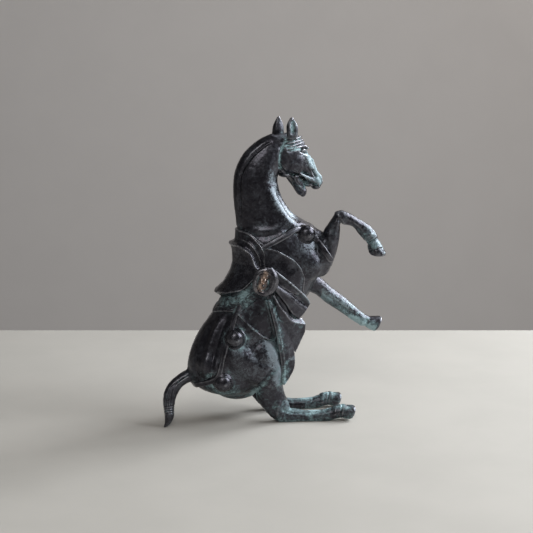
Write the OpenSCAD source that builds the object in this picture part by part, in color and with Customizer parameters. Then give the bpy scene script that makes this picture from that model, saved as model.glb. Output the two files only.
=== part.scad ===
// Rearing bronze horse with a draped saddle, resting on its hind legs and the tip of its tail.
// Millimetres, +Z up. The horse faces +X, its right side is towards -Y, and it stands on z = 0
// with the origin under the middle of its bounding box.

/* [Castings] */
// Wall of the hollow body and neck castings
wall = 4; // [3:0.5:5]
// Points round each cross-section of the cast forms
section_points = 20; // [16:2:24]
// Overlap of the sleeves inside the waist and neck joints, on each side of the joint
sleeve_reach = 9; // [6:1:10]
// Diameter of the dowels that carry the legs and the tail
dowel_d = 5; // [4:0.5:6]
// Length of those dowels
dowel_length = 18; // [14:1:20]

/* [Harness] */
// Thickness of the saddle pad
pad_t = 1.8; // [1.2:0.2:2.4]
// Thickness of the side flaps over the body
flap_t = 3.2; // [2.8:0.2:3.8]
// Thickness of the straps
strap_t = 1.6; // [1:0.2:2.2]
// Width of the straps
strap_w = 5.5; // [4:0.5:7]
// Radius of the round bosses on the straps
boss_r = 9; // [7:0.5:10]

/* [Hidden] */

// The design axis runs through the right hock; the whole statue is then moved by this much,
// so that the origin lies under the middle of its bounding box.
centre_x = -9.4;
centre_y = 0.8;

dark_bronze = [0.16, 0.14, 0.14];
green_bronze = [0.24, 0.32, 0.30];
rubbed_bronze = [0.45, 0.33, 0.24];
dowel_bronze = [0.62, 0.47, 0.27];

waist_z = 122;      // height of the joint between hindquarters and forebody
neck_z = 198;       // height of the joint between forebody and neck
poll_x = 12;        // the head turns about a vertical line here
head_yaw = 18;      // the head is turned this far to the horse's left
steps = 2;          // rings made for each stretch between two sections

// ---- Cast forms: each section is [back x, back z, front x, front z, y, half width] ----

// Barrel and rump, in level sections from the seat to the base of the neck.
torso_rows = [
    [-50, 27, -22, 27, 0, 10], [-62, 31, -8, 31, 0, 20], [-73, 37, 0, 37, 0, 26],
    [-80, 45, 4, 45, 0, 29.5], [-82, 55, 8, 55, 0, 31.5], [-80, 68, 12, 68, 0, 33],
    [-75, 82, 18, 82, 0, 33], [-66, 98, 26, 98, 0, 32.5], [-55, 112, 34, 112, 0, 32],
    [-46, 126, 43, 126, 0, 31.5], [-38, 142, 52, 142, 0, 31.5], [-34, 158, 61, 158, 0, 31],
    [-32, 172, 64, 172, 0, 30.5], [-31, 184, 60, 184, 0, 28], [-30.5, 192, 53, 192, 0, 25.5],
    [-30.5, 199, 44, 199, 0, 23]
];
// Neck, from the withers over the arch to the poll: crest point first, throat point second.
neck_rows = [
    [-30.5, 192, 52, 192, 0, 25.5], [-31, 200, 41, 200, 0, 22.5], [-31.8, 209, 28.5, 208, 0, 20],
    [-33, 220, 20.5, 218, 0, 18], [-33.7, 231, 14.5, 229, 0, 16.8], [-33.6, 241, 11.5, 238, 0, 16],
    [-32.3, 251, 11, 244, 0, 15.5], [-29.3, 260, 12, 249, 0, 15], [-23.5, 270, 14, 252, 0, 14.5],
    [-16, 277.5, 17, 254, 0, 14], [-6, 284.5, 20, 256, 0, 13.5], [6, 289.5, 24, 259, 0, 13]
];
forearm_rows = [
    [40, 164, 62, 156, -17, 12], [46, 178, 66, 170, -20, 11], [50.5, 190, 68.5, 184, -22, 9.5],
    [55.5, 198, 69, 194, -23, 7.5], [61, 206, 70, 201, -24, 6.6], [64.5, 212.5, 72, 203, -24.5, 6]
];
fore_cannon_rows = [
    [63, 212, 71, 199, -24.5, 6.2], [70, 214, 76, 198.5, -24.5, 6.2], [79.5, 210, 82, 196.5, -25, 5.6],
    [89, 204, 86.5, 191, -25.5, 5.2], [97, 199, 90.5, 186, -26, 5.4], [104, 192.5, 95.5, 182, -26, 6],
    [108.5, 184, 97, 178, -26.5, 5.8]
];
fore_hoof_rows = [[106.5, 186, 96.5, 180.5, -26.5, 6], [116.5, 168.5, 98.5, 170, -27, 8.2], [112, 166, 101.5, 167, -27, 6.5]];
foreleg_left_rows = [
    [52, 146, 38, 128, 12, 10], [63, 136.5, 55, 121, 14, 8.6], [73, 127, 66, 111.5, 15, 7.8],
    [84, 118.5, 76.5, 104.5, 15.5, 7.2], [94, 110, 87, 97, 16, 6.6], [102, 102.5, 96.5, 90, 16, 5.8],
    [109, 96.5, 103.5, 85.5, 16, 5.3], [114, 94, 108.5, 83.5, 16, 5.6]
];
fore_hoof_left_rows = [[112.5, 93.5, 107.5, 84, 16, 5.6], [126.5, 93, 119, 77.5, 16, 8.2], [127.8, 92, 121.2, 79, 16, 7.4]];
gaskin_rows = [
    [11, 48, -20, 40, 0, 13.5], [11.5, 38, -16.5, 28, 0, 12], [14, 28, -13.5, 21, 0, 10.5],
    [17, 20, -8, 13, 0, 9], [19, 13, -1.5, 5.5, 0, 7.8], [17, 6, 5, 0.5, 0, 6.5]
];
hind_cannon_rows = [
    [12, 13, 6, -0.8, 0, 6.8], [22, 13, 19, -1.2, 0, 6.4], [32, 11.2, 32, -1.2, 0, 5.8],
    [44, 11, 44, -1.2, 0, 5.8], [54, 12, 55, -1, 0, 6.2], [61, 14, 62, 1, 0, 6.2],
    [68, 16.6, 68, 2.4, 0, 6.8], [73.5, 16.6, 72.5, 2.2, 0, 6.6]
];
hind_hoof_rows = [[72, 15.5, 71, 2, 0, 6.9], [80.5, 15.4, 76.5, 0.8, 0, 7.8], [83, 14, 79.5, 2.8, 0, 6.6]];
tail_rows = [
    [-70, 42, -72, 57, 0, 7.5], [-79, 42, -82, 55, -0.5, 7.2], [-86, 39.5, -90.5, 51, -1.5, 6.4],
    [-91.5, 34, -100, 44.5, -3, 6.2], [-95.5, 26, -107, 34.5, -5, 6.1], [-97, 17, -108.5, 21, -7, 5.8],
    [-98, 9.5, -107.5, 10.5, -8.5, 5], [-102, 3, -107.5, 4, -9.8, 3.2], [-106.5, -0.4, -109.5, -0.4, -10.5, 1.8]
];
// Both hind feet swing a little towards the horse's right: rows moved to a line y = from + slope * x.
function swung(rows, from, slope) = [for (r = rows) [r[0], r[1], r[2], r[3], from + slope * max((r[0] + r[2]) / 2, 0), r[5]]];
// Muscles that swell the torso on each side: [start, start radius, end, end radius].
muscles = [
    [[-36, 17, 72], 21, [-14, 20, 58], 19],
    [[-58, 12, 62], 19, [-40, 14, 46], 17],
    [[8, 12, 178], 15, [38, 15, 160], 17],
    [[48, 11, 182], 12, [50, 13, 158], 13]
];

function unit(v) = v / norm(v);
function spline(a, b, c, d, t) =
    (2 * b + (c - a) * t + (2 * a - 5 * b + 4 * c - d) * t * t + (3 * b - a - 3 * c + d) * t * t * t) / 2;
function refine(rows, n) = [
    for (i = [0 : len(rows) - 2]) for (j = [0 : n - 1])
        spline(rows[max(i - 1, 0)], rows[i], rows[i + 1], rows[min(i + 2, len(rows) - 1)], j / n),
    rows[len(rows) - 1]
];
function middle(r) = [(r[0] + r[2]) / 2, r[4], (r[1] + r[3]) / 2];
// A section grown outwards by t all round.
function grown(r, t) =
    let (d = unit([r[2] - r[0], r[3] - r[1]]) * t) [r[0] - d[0], r[1] - d[1], r[2] + d[0], r[3] + d[1], r[4], r[5] + t];
// The points of one section. egg above 0 narrows the back half, as on the crest of the neck.
function ring(r, egg, m) =
    let (c = middle(r), half = [r[2] - r[0], r[3] - r[1]] / 2)
    [for (k = [0 : m - 1])
        let (a = 360 * k / m)
        c + [half[0] * cos(a), r[5] * sin(a) * (1 + egg * cos(a)), half[1] * cos(a)]];

// A closed skin over a list of sections.
module skin(rows, egg = 0, n = steps, m = section_points) {
    fine = refine(rows, n);
    last = len(fine) - 1;
    points = [for (r = fine) each ring(r, egg, m), middle(fine[0]), middle(fine[last])];
    start = m * (last + 1);
    turn = cross([fine[0][2] - fine[0][0], 0, fine[0][3] - fine[0][1]], [0, 1, 0]);
    inward = turn * (middle(fine[1]) - middle(fine[0])) > 0;
    sides = [for (i = [0 : last - 1]) for (k = [0 : m - 1])
        let (a = i * m + k, b = i * m + (k + 1) % m)
        each [[a, b + m, b], [a, a + m, b + m]]];
    ends = [for (k = [0 : m - 1]) each [[start, k, (k + 1) % m], [start + 1, last * m + (k + 1) % m, last * m + k]]];
    faces = concat(sides, ends);
    polyhedron(points, inward ? faces : [for (f = faces) [f[2], f[1], f[0]]], convexity = 8);
}

module both_sides() {
    children();
    mirror([0, 1, 0]) children();
}

module muscle(m, t) {
    hull() {
        translate(m[0]) sphere(m[1] + t, $fn = 16);
        translate(m[2]) sphere(m[3] + t, $fn = 16);
    }
}

// The outside of the body, grown by t for what is laid over it.
module torso(t = 0) {
    skin([for (r = torso_rows) grown(r, t)]);
    both_sides() for (m = muscles) muscle(m, t);
}

module torso_core(t = wall) skin([for (r = torso_rows) grown(r, -t)], n = 1, m = 16);

// Everything between two heights.
module slab(low, high) translate([-150, -100, low]) cube([300, 200, high - low]);

// What lies inside a side-view outline, on the right side of the horse.
module right_of(outline) translate([0, 0.5, 0]) rotate([90, 0, 0]) linear_extrude(100) polygon(outline);

// A layer of thickness t over the right side of the body, inside a side-view outline.
module layer(outline, t) {
    intersection() {
        torso(t);
        right_of(outline);
    }
}

// A side-view band along a line of points.
function band(points, w) = let (n = len(points) - 1,
    sides = [for (i = [0 : n]) let (d = unit(points[min(i + 1, n)] - points[max(i - 1, 0)])) [-d[1], d[0]] * w / 2])
    concat([for (i = [0 : n]) points[i] + sides[i]], [for (i = [n : -1 : 0]) points[i] - sides[i]]);

// ---- Hidden joints ----
module sleeve(z, clearance = 0.1, thickness = 2.5) {
    intersection() {
        difference() {
            torso_core(wall + clearance);
            torso_core(wall + clearance + thickness);
        }
        slab(z - sleeve_reach, z + sleeve_reach);
    }
}

// Cross pins through wall and sleeve: [x, z, half width of the body there].
waist_pin_places = [[-8, 127, 31.6], [-12, 117, 32]];
neck_pin_places = [[8, 193, 25]];
pin_d = 3;
module pins(places, gap = 0) {
    both_sides() for (p = places)
        translate([p[0], -p[2] + 1.2, p[1]]) rotate([-90, 0, 0]) cylinder(h = 9, d = pin_d + 2 * gap, $fn = 20);
}

// Dowels: [middle, direction].
dowels = [
    [[56, -19, 172], [0.35, -0.15, 1]], [[51, 13, 133], [0.8, 0, -0.6]],
    [[-6, -19, 44], [0.3, 0, -1]], [[-10, 19, 44], [0.3, 0, -1]], [[-78, 0, 48.5], [-1, 0, 0.02]]
];
module dowel_set(gap = 0) {
    for (p = dowels) {
        d = unit(p[1]);
        translate(p[0]) rotate([0, acos(d[2]), atan2(d[1], d[0])])
            cylinder(h = dowel_length, d = dowel_d + 2 * gap, center = true, $fn = 20);
    }
}

// ---- Castings ----
module hindquarters() color(dark_bronze) difference() {
    intersection() { torso(); slab(0, waist_z); }
    torso_core();
    dowel_set(0.1);
    pins(waist_pin_places, 0.1);
}

module forebody() color(dark_bronze) difference() {
    intersection() { torso(); slab(waist_z, neck_z); }
    torso_core();
    dowel_set(0.1);
    pins(waist_pin_places, 0.1);
    pins(neck_pin_places, 0.1);
}

module neck_form() skin(neck_rows, egg = 0.22);

module neck() color(dark_bronze) difference() {
    neck_form();
    slab(0, neck_z);
    difference() {
        skin([for (r = neck_rows) grown(r, -wall)], egg = 0.22, n = 1, m = 16);
        slab(252, 400);
    }
    pins(neck_pin_places, 0.1);
    both_sides() for (m = muscles) muscle(m, 0);
}

// Head: forehead or nose point first, throat or palate point second.
head_rows = [
    [8, 288, 13, 250, 0, 11], [20, 289.5, 16, 246, 0, 12.5], [30, 289, 21, 245.5, 0, 13],
    [36.5, 282.5, 27, 246, 0, 12.3], [41, 274, 32, 247, 0, 11], [45, 266, 36.5, 247.5, 0, 9.6],
    [49, 257.5, 40.5, 246, 0, 8.4], [53, 249, 44.5, 242, 0, 7.8], [56, 241.5, 47, 236.5, 0, 7.2],
    [55.5, 236.5, 48.5, 233, 0, 5.6]
];
jaw_rows = [
    [32, 248, 20, 246.5, 0, 9], [34.5, 242, 25, 241.5, 0, 7.8], [37, 236, 27.5, 235, 0, 6.8],
    [39, 231, 30.5, 230, 0, 6.2], [38, 228, 33.5, 226.6, 0, 4.6]
];
ear_rows = [[-5.5, -4, 5.5, -4, 0, 3.6], [-6, 3, 6, 3, 0, 4], [-4.6, 9, 4.6, 9, 0, 3], [-1, 15.5, 1, 15.5, 0, 1.2]];
// The head follows its own turn: what lies further forward lies further to the left.
function turned(r) = let (y = ((r[0] + r[2]) / 2 - poll_x) * tan(head_yaw))
    [r[0] + 0.27 * y, r[1] - 0.2 * y, r[2] + 0.27 * y, r[3] - 0.2 * y, r[4] + y, r[5]];
module jaw_form() skin([for (r = jaw_rows) turned(r)]);
module head_form() skin([for (r = head_rows) turned(r)]);

module head() color(dark_bronze) difference() {
    union() {
        head_form();
        // Cheek discs, brows and nostril rims
        for (s = [-1, 1]) translate([poll_x, 0, 0]) rotate([0, 0, head_yaw]) translate([-poll_x, 0, 0]) {
            hull() {
                translate([27, 9 * s, 260]) scale([1, 0.35, 1]) sphere(12, $fn = 14);
                translate([25, 6 * s, 264]) sphere(6, $fn = 8);
            }
            hull() {
                translate([35, 10 * s, 273]) sphere(2, $fn = 8);
                translate([42, 7.5 * s, 272]) sphere(1.6, $fn = 8);
            }
            hull() {
                translate([50, 5 * s, 245]) sphere(3, $fn = 8);
                translate([54, 4 * s, 242]) sphere(2.4, $fn = 8);
            }
        }
    }
    neck_form();
    jaw_form();
    ear_at(1, 23, -10) ear_form();
    ear_at(-1, 15, 10.5) ear_form();
}

module lower_jaw() color(dark_bronze) jaw_form();

module ear_form() difference() {
    skin(ear_rows, n = 2, m = 14);
    hull() {
        translate([0, -3.4, 1.5]) scale([3, 1.9, 3]) sphere(1, $fn = 12);
        translate([0, -2.6, 10]) sphere(0.9, $fn = 8);
    }
}
module ear_at(side, x, y) translate([x, y, 288.5]) rotate([2 * side, 0, head_yaw + 6 * side]) children();
module ear_right() color(dark_bronze) ear_at(1, 23, -10) ear_form();
module ear_left() color(dark_bronze) ear_at(-1, 15, 10.5) mirror([0, 1, 0]) ear_form();

module limb(lists) color(dark_bronze) difference() {
    union() for (rows = lists) skin(rows, m = 16);
    torso();
    dowel_set(0.1);
    translate([-200, -200, -20]) cube([400, 400, 20]);
}
module foreleg_right() limb([forearm_rows, fore_cannon_rows, fore_hoof_rows]);
module foreleg_left() limb([foreleg_left_rows, fore_hoof_left_rows]);
hind_lists = [gaskin_rows, hind_cannon_rows, hind_hoof_rows];
module hind_leg_right() limb([for (rows = hind_lists) swung(rows, -19.5, -0.2)]);
module hind_leg_left() limb([for (rows = hind_lists) swung(rows, 19.5, -0.11)]);
module tail() limb([tail_rows]);

// ---- Saddle and cloths, in side-view outlines ----
saddle_rows = [
    [-48, 126, 0, 128, 0, 34], [-53, 133, 2, 133, 0, 34.5], [-47, 139, 4, 139, 0, 34.8],
    [-41.5, 145, 6, 145, 0, 34.5], [-36.8, 153, 8, 153, 0, 34.2], [-34.6, 162, 10, 162, 0, 34],
    [-35.5, 173, 12, 173, 0, 33.5], [-37.2, 181, 10, 181, 0, 32], [-34.8, 186, 8, 186, 0, 29.5],
    [-32.8, 190, 6, 190, 0, 27.5]
];
saddle_outline = [
    [-62, 134], [-46, 136], [-38, 136.5], [-31, 139], [-25, 143], [-20, 150], [-15, 160], [-9, 164], [-10, 176],
    [-14, 185], [-20, 190], [-60, 190]
];
flap_outline = [
    [-8.5, 164], [-9.5, 176], [-12, 183], [4, 179], [18, 170], [26, 162], [30, 151], [29, 143],
    [25, 135], [12, 131], [0, 134]
];
pad_outline = [
    [-70, 112], [-39, 117], [-25, 104], [-11, 90], [-2, 84], [10, 92], [22, 122], [25, 135], [29, 143],
    [30, 151], [26, 162], [18, 170], [4, 179], [-10, 186], [-20, 193], [-70, 194]
];
knot_x = -9;
knot_z = 146.5;
module knot_hole(r) translate([knot_x, 0, knot_z]) rotate([90, 0, 0]) cylinder(h = 100, r = r, $fn = 32);

module saddle() color(dark_bronze) difference() {
    intersection() {
        skin(saddle_rows);
        both_sides() right_of(saddle_outline);
    }
    torso(pad_t);
    both_sides() knot_hole(14.5);
}

module saddle_pad() color(green_bronze) difference() {
    intersection() {
        torso(pad_t);
        both_sides() right_of(pad_outline);
    }
    torso();
}

module flap() color(dark_bronze) difference() {
    layer(flap_outline, pad_t + flap_t);
    torso(pad_t);
    knot_hole(14.5);
}
module flap_right() flap();
module flap_left() mirror([0, 1, 0]) flap();

// Folds fanning down and forward from the knot: [outer top tip, outer low tip, reach of the root].
folds = [
    [[38, -23, 120], [27, -26, 103], [14, -33, 140]], [[36, -22, 96], [31, -24, 80], [4, -34, 131]],
    [[27, -23, 74], [20, -25, 62], [0, -35, 128]], [[16, -24, 58], [10, -25, 39], [-4, -35, 126]]
];
fold_root = [-3, -35, 131];
fold_t = 2.6;
module bead(p, r) translate(p) sphere(r, $fn = 8);
module fold(f, i) {
    belly = (f[0] + f[1] + fold_root) / 3 + [0, -8 - i, 0];
    hull() { bead(fold_root, 4); bead(f[2], fold_t); bead(belly, fold_t); bead(f[0], fold_t); }
    hull() { bead(fold_root, 4); bead(belly, fold_t); bead(f[0], fold_t); bead(f[1], fold_t - 0.4); }
}
// The cloth closes on the body behind the folds.
module under_cloth() intersection() {
    torso(pad_t + 2.2);
    right_of([[-6, 135], [30, 128], [38, 118], [40, 80], [22, 60], [12, 40], [7, 40], [2, 84]]);
}
module drape() color(dark_bronze) difference() {
    union() {
        for (i = [0 : 3]) fold(folds[i], i);
        under_cloth();
    }
    torso(pad_t);
    layer(flap_outline, pad_t + flap_t + 0.2);
    knot_hole(14.5);
    limb_room();
    translate([-150, -0.5, 0]) cube([300, 100, 300]);
}
module limb_room() skin([for (r = forearm_rows) grown(r, 0.3)]);
module drape_right() drape();
module drape_left() mirror([0, 1, 0]) drape();

// The knot of cloth: a rolled rim round a bunch of small folds.
module knot() color(rubbed_bronze) difference() {
    translate([knot_x, -32.5, knot_z]) rotate([90, 0, 0]) {
        rotate_extrude($fn = 28) translate([10, 0]) circle(4, $fn = 9);
        for (a = [0 : 60 : 300]) hull() {
            translate([0, 0, 1.1]) sphere(5.2, $fn = 7);
            rotate([0, 0, a + 17]) translate([5.6, 0, 0.7]) sphere(2.9, $fn = 7);
        }
    }
    torso(pad_t + 0.07);
}
module knot_right() knot();
module knot_left() mirror([0, 1, 0]) knot();

breast_path = [[-14, 179], [-4, 183.5], [12, 190.5], [24, 195], [35, 191.5], [45, 187], [54, 176.5], [70, 160]];
crupper_path = [
    [-33, 125], [-39, 114.5], [-43, 102], [-48, 86], [-52, 72.5], [-55, 62], [-60, 52], [-68, 47], [-84, 45]
];
module strap(path) difference() {
    layer(band(path, strap_w), strap_t);
    torso(0.04);
}
module breast_straps() color(rubbed_bronze) both_sides() difference() {
    strap(breast_path);
    layer(pad_outline, 9);
    skin([for (r = forearm_rows) grown(r, 0.1)]);
    chest_boss_solid();
}
module crupper_straps() color(rubbed_bronze) both_sides() difference() {
    strap(crupper_path);
    layer(pad_outline, 9);
    translate([-300, -100, 0]) cube([218, 200, 200]);
    rump_boss_solids();
}

// A domed boss standing on the body: [place on the body, outward direction].
chest_boss_place = [[35, -22.5, 191], [0.3, -1, 0.3]];
rump_boss_places = [[[-39, -31.5, 91.5], [-0.2, -1, 0.1]], [[-52, -28.5, 47.5], [-0.3, -1, -0.25]]];
module boss(p) {
    d = unit(p[1]);
    translate(p[0]) rotate([0, acos(d[2]), atan2(d[1], d[0])]) rotate_extrude($fn = 20)
        polygon([[0, -5], [boss_r, -5], [boss_r, 0.6], [boss_r - 1, 2.6], [boss_r - 3.2, 4.6], [boss_r - 6, 5.7], [0, 6]]);
}
module chest_boss_solid() boss(chest_boss_place);
module rump_boss_solids() for (p = rump_boss_places) boss(p);
module chest_boss_right() color(dark_bronze) difference() { chest_boss_solid(); torso(); neck_form(); }
module chest_boss_left() mirror([0, 1, 0]) chest_boss_right();
module rump_bosses_right() color(dark_bronze) difference() { rump_boss_solids(); torso(); }
module rump_bosses_left() mirror([0, 1, 0]) rump_bosses_right();

// ---- Hidden fixings ----
module waist_sleeve() color(dowel_bronze) difference() { sleeve(waist_z); pins(waist_pin_places, 0.1); }
module neck_sleeve() color(dowel_bronze) difference() { sleeve(neck_z - 6, thickness = 2); pins(neck_pin_places, 0.1); }
module waist_pins() color(dowel_bronze) pins(waist_pin_places);
module neck_pins() color(dowel_bronze) pins(neck_pin_places);
module limb_dowels() color(dowel_bronze) dowel_set();

module placed() translate([centre_x, centre_y, 0]) children();

placed() hindquarters();
placed() forebody();
placed() neck();
placed() head();
placed() lower_jaw();
placed() ear_right();
placed() ear_left();
placed() foreleg_right();
placed() foreleg_left();
placed() hind_leg_right();
placed() hind_leg_left();
placed() tail();
placed() saddle();
placed() saddle_pad();
placed() flap_right();
placed() flap_left();
placed() drape_right();
placed() drape_left();
placed() knot_right();
placed() knot_left();
placed() breast_straps();
placed() crupper_straps();
placed() chest_boss_right();
placed() chest_boss_left();
placed() rump_bosses_right();
placed() rump_bosses_left();
placed() waist_sleeve();
placed() neck_sleeve();
placed() waist_pins();
placed() neck_pins();
placed() limb_dowels();
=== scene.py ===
import math

import bmesh
import bpy
import numpy as np
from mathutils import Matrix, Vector


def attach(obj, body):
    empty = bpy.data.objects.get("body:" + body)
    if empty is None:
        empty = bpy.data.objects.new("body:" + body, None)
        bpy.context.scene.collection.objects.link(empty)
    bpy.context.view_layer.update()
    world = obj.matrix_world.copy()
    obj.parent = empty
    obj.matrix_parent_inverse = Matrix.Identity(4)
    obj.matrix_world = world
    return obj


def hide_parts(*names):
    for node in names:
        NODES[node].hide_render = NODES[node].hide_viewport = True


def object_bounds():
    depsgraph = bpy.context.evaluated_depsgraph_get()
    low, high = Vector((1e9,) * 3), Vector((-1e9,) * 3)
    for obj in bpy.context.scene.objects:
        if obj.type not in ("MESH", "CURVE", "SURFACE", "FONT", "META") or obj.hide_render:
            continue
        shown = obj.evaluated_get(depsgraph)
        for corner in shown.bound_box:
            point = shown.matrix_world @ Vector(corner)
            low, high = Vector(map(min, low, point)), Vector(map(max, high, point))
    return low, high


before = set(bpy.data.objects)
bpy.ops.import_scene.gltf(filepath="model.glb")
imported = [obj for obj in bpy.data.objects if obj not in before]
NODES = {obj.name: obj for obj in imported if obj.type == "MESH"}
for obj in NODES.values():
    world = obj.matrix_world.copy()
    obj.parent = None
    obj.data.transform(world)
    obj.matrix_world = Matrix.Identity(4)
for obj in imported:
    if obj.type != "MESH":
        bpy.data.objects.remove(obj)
cad_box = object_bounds()
MM = 0.001
# Sculpting is done in millimetres from the axis through the hocks; the part's origin is here on it.
ORIGIN = np.array([-9.4, 0.8, 0.0])
# Marks are drawn on the middle plane y = 0 as seen from here (millimetres), then carried along the line of
# sight to the flank, and mirrored to the other side.
VIEWER = np.array([-379.8, -1417.2, 467.5])
rng = np.random.default_rng(7)
WEIGHT_STEPS = 40  # how finely smoothing weights are stored
WEIGHT_BLEND = 40  # rounds that even the weights out along the skin


# ---- meshes
def mesh_of(points, faces):
    me = bpy.data.meshes.new("work")
    me.from_pydata([tuple(p) for p in points], [], [tuple(f) for f in faces])
    return me


def read(items, name, width=1, kind=float):
    """One property of every item; a width above 1 gives rows."""
    out = np.empty(len(items) * width, kind)
    items.foreach_get(name, out)
    return out.reshape(-1, width) if width > 1 else out


def coords(me):
    return read(me.vertices, "co", 3)


def set_coords(me, co):
    me.vertices.foreach_set("co", np.ascontiguousarray(co, dtype=float).ravel())
    me.update()


def normals(me):
    return read(me.vertex_normals, "vector", 3)


def linked(name, data):
    ob = bpy.data.objects.new(name, data)
    bpy.context.scene.collection.objects.link(ob)
    return ob


def meshed(bm):
    me = bpy.data.meshes.new("work")
    bm.to_mesh(me)
    bm.free()
    return me


def modified(me, *mods, weights=None):
    """The mesh after some modifiers: (type, settings) pairs."""
    ob = linked("work", me)
    if weights is not None:
        group = ob.vertex_groups.new(name="w")
        level = np.round(np.asarray(weights) * WEIGHT_STEPS).astype(int)
        for k in np.unique(level[level > 0]):
            group.add(np.flatnonzero(level == k).tolist(), k / WEIGHT_STEPS, "REPLACE")
    for kind, settings in mods:
        m = ob.modifiers.new(kind, kind)
        for key, value in settings.items():
            setattr(m, key, value)
    out = bpy.data.meshes.new_from_object(ob.evaluated_get(bpy.context.evaluated_depsgraph_get()))
    bpy.data.objects.remove(ob)
    bpy.data.meshes.remove(me)
    return out


def joined(meshes, nodes=()):
    """Working meshes and CAD nodes in one mesh, in sculpting millimetres."""
    bm = bmesh.new()
    for name in nodes:
        start = len(bm.verts)
        bm.from_mesh(NODES[name].data)
        bm.verts.ensure_lookup_table()
        for v in bm.verts[start:]:
            v.co = Vector(np.array(v.co) / MM - ORIGIN)
    for me in meshes:
        bm.from_mesh(me)
        bpy.data.meshes.remove(me)
    return meshed(bm)


def smoothed(me, rounds, weights=None):
    """Smooths small forms away; a second pass gives back what the first took off the broad ones."""
    settings = {"factor": 0.5, "iterations": rounds}
    if weights is not None:
        settings["vertex_group"] = "w"
    start = coords(me)
    first = modified(me.copy(), ("SMOOTH", settings), weights=weights)
    once = coords(first)
    set_coords(me, start - once)
    bpy.data.meshes.remove(first)
    me = modified(me, ("SMOOTH", settings), weights=weights)
    set_coords(me, coords(me) + once)
    return me


def cast(me, voxel, rounds, weights=None):
    """One closed skin round everything in the mesh, smoothed."""
    me = modified(me, ("REMESH", {"mode": "VOXEL", "voxel_size": voxel, "adaptivity": 0.0}))
    if weights is not None:
        weights = relaxed(weights(coords(me))[:, None], edges_of(me), WEIGHT_BLEND)[:, 0]
    return smoothed(me, rounds, weights) if rounds else me


def edges_of(me):
    return read(me.edges, "vertices", 2, int)


def relaxed(rows, edges, rounds):
    """A row of values at each point, evened out along the edges."""
    a, b = edges.T
    n = len(rows)
    count = np.maximum(np.bincount(np.concatenate([a, b]), minlength=n), 1)[:, None]
    for _ in range(rounds):
        total = [np.bincount(a, v[b], n) + np.bincount(b, v[a], n) for v in rows.T]
        rows = 0.4 * rows + 0.6 * np.stack(total, 1) / count
    return rows


# ---- shapes for adding
def curve(points, per=6):
    """A smooth line through the points."""
    p = np.array(points, float)
    p = np.concatenate([2 * p[:1] - p[1:2], p, 2 * p[-1:] - p[-2:-1]])
    t = np.linspace(0, 1, per, endpoint=False)[:, None]
    out = []
    for i in range(1, len(p) - 2):
        a, b, c, d = p[i - 1 : i + 3]
        square, cube = 2 * a - 5 * b + 4 * c - d, 3 * b - a - 3 * c + d
        out.append((2 * b + (c - a) * t + square * t**2 + cube * t**3) / 2)
    return np.concatenate(out + [p[-2:-1]])


def tube(points, radii, sides=10, flat=1.0):
    """A closed round bar along a line; flat squeezes it along Y."""
    line = curve(np.column_stack([points, radii]))
    p, r = line[:, :3], line[:, 3]
    way = np.gradient(p, axis=0)
    way /= np.linalg.norm(way, axis=1)[:, None]
    up = np.cross(way, [0, 1, 0])
    up /= np.linalg.norm(up, axis=1)[:, None] + 1e-9
    out = np.cross(way, up)
    a = np.linspace(0, 2 * math.pi, sides, endpoint=False)
    rings = p[:, None] + r[:, None, None] * (
        up[:, None] * np.cos(a)[None, :, None] + out[:, None] * (flat * np.sin(a))[None, :, None]
    )
    n = len(p)
    ends = [p[:1] - way[:1] * r[0] * 0.6, p[-1:] + way[-1:] * r[-1] * 0.6]
    pts = np.concatenate([rings.reshape(-1, 3)] + ends)
    faces = [
        (i * sides + k, i * sides + (k + 1) % sides, (i + 1) * sides + (k + 1) % sides, (i + 1) * sides + k)
        for i in range(n - 1)
        for k in range(sides)
    ]
    faces += [(n * sides, (k + 1) % sides, k) for k in range(sides)]
    faces += [(n * sides + 1, (n - 1) * sides + k, (n - 1) * sides + (k + 1) % sides) for k in range(sides)]
    return mesh_of(pts, faces)


def ball(centre, radii, turn=0.0):
    """An ellipsoid, turned about Y by an angle in degrees."""
    bm = bmesh.new()
    bmesh.ops.create_icosphere(bm, subdivisions=3, radius=1)
    c, s = math.cos(math.radians(turn)), math.sin(math.radians(turn))
    for v in bm.verts:
        x, y, z = v.co[0] * radii[0], v.co[1] * radii[1], v.co[2] * radii[2]
        v.co = (centre[0] + c * x - s * z, centre[1] + y, centre[2] + s * x + c * z)
    return meshed(bm)


def sheet(grid, thickness):
    """A closed plate from a grid of points, thickened on its far side."""
    grid = np.asarray(grid, float)
    rows, cols = grid.shape[:2]
    n = np.cross(np.gradient(grid, axis=0), np.gradient(grid, axis=1))
    n /= np.linalg.norm(n, axis=2)[..., None] + 1e-9
    back = grid - n * thickness
    pts = np.concatenate([grid.reshape(-1, 3), back.reshape(-1, 3)])
    m = rows * cols
    idx = np.arange(m).reshape(rows, cols)
    quads = np.stack([idx[:-1, :-1], idx[:-1, 1:], idx[1:, 1:], idx[1:, :-1]], -1).reshape(-1, 4)
    faces = [tuple(q) for q in quads] + [tuple(q[::-1] + m) for q in quads]
    rim = list(idx[0, :]) + list(idx[1:, -1]) + list(idx[-1, -2::-1]) + list(idx[-2:0:-1, 0])
    faces += [(rim[i], rim[i - 1], rim[i - 1] + m, rim[i] + m) for i in range(len(rim))]
    me = mesh_of(pts, faces)
    bm = bmesh.new()
    bm.from_mesh(me)
    bmesh.ops.recalc_face_normals(bm, faces=bm.faces)
    bm.to_mesh(me)
    bm.free()
    return me


# ---- drawing and sculpting
def drawn(p):
    """Where places on the near side appear in the drawing: u along X and w along Z on the plane y = 0."""
    k = p[:, 1] / (p[:, 1] - VIEWER[1])
    return p[:, 0] - (p[:, 0] - VIEWER[0]) * k, p[:, 2] - (p[:, 2] - VIEWER[2]) * k


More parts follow.
